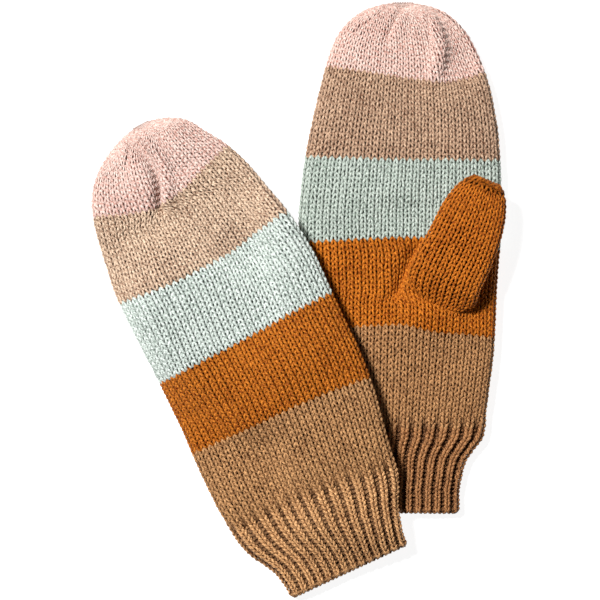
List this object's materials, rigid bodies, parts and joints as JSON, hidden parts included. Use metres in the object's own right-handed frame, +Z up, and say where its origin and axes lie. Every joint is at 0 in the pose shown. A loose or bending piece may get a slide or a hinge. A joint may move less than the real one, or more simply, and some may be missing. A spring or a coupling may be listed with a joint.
{
  "type": "knitted mittens",
  "caption": "Pair of long striped wool mittens with ribbed cuffs and gathered tips, laid flat with one resting on the other.",
  "frame": {"origin": "on the ground, under the middle of the pair's bounding box", "axes": "+Z up from the ground, +Y from the right mitten's cuff to its fingertips, +X to its thumb side"},
  "size_m": [0.2134, 0.3094, 0.0332],
  "materials": {
    "pink_yarn": "knitted wool, matt",
    "rose_beige_yarn": "knitted wool, matt",
    "mint_yarn": "knitted wool, matt",
    "mustard_yarn": "knitted wool, matt",
    "camel_yarn": "knitted wool, matt"
  },
  "bodies": {
    "right_hand": {"right_mustard_band": "mustard_yarn", "right_mint_band": "mint_yarn", "right_camel_band": "camel_yarn", "right_thumb_base_seam": "mustard_yarn"},
    "right_fingers": {"right_rose_band": "rose_beige_yarn", "right_crown": "pink_yarn", "right_crown_gather": "pink_yarn"},
    "right_thumb": {"right_thumb": "mustard_yarn", "right_thumb_tip_seam": "mustard_yarn"},
    "right_cuff": {"right_ribbed_cuff": "camel_yarn", "right_cuff_edge": "camel_yarn"},
    "left_hand": {"left_mustard_band": "mustard_yarn", "left_mint_band": "mint_yarn", "left_camel_band": "camel_yarn", "left_thumb_base_seam": "mustard_yarn"},
    "left_fingers": {"left_rose_band": "rose_beige_yarn", "left_crown": "pink_yarn", "left_crown_gather": "pink_yarn"},
    "left_thumb": {"left_thumb": "mustard_yarn", "left_thumb_tip_seam": "mustard_yarn"},
    "left_cuff": {"left_ribbed_cuff": "camel_yarn", "left_cuff_edge": "camel_yarn"}
  },
  "joints": [
    {"name": "left_mitten_lift", "type": "slide", "parent": "right_hand", "child": "left_hand", "axis": [0, 0, 1], "range_m": [0, 0.12]},
    {"name": "right_finger_curl", "type": "hinge", "parent": "right_hand", "child": "right_fingers", "pos_m": [0.05193, 0.07136, 0.01575], "axis": [1, 0, 0], "range_deg": [0, 60], "stiffness_Nm_per_rad": 0.15},
    {"name": "left_finger_curl", "type": "hinge", "parent": "left_hand", "child": "left_fingers", "pos_m": [-0.05159, 0.01983, 0.00089], "axis": [-0.9026, -0.4305, 0], "range_deg": [0, 60], "stiffness_Nm_per_rad": 0.15},
    {"name": "right_wrist_bend", "type": "hinge", "parent": "right_hand", "child": "right_cuff", "pos_m": [0.05193, -0.06694, 0], "axis": [1, 0, 0], "range_deg": [0, 45], "stiffness_Nm_per_rad": 0.15},
    {"name": "left_wrist_bend", "type": "hinge", "parent": "left_hand", "child": "left_cuff", "pos_m": [0.00683, -0.10265, 0.02441], "axis": [-0.9026, -0.4305, 0], "range_deg": [0, 45], "stiffness_Nm_per_rad": 0.15},
    {"name": "right_thumb_lift", "type": "hinge", "parent": "right_hand", "child": "right_thumb", "pos_m": [0.06893, -0.01014, 0.01745], "axis": [0.9304, -0.3665, 0], "range_deg": [0, 60], "stiffness_Nm_per_rad": 0.15},
    {"name": "left_thumb_lift", "type": "hinge", "parent": "left_hand", "child": "left_thumb", "pos_m": [-0.01073, -0.04145, 0.01579], "axis": [-0.6225, -0.7826, 0], "range_deg": [0, 45], "stiffness_Nm_per_rad": 0.15}
  ]
}
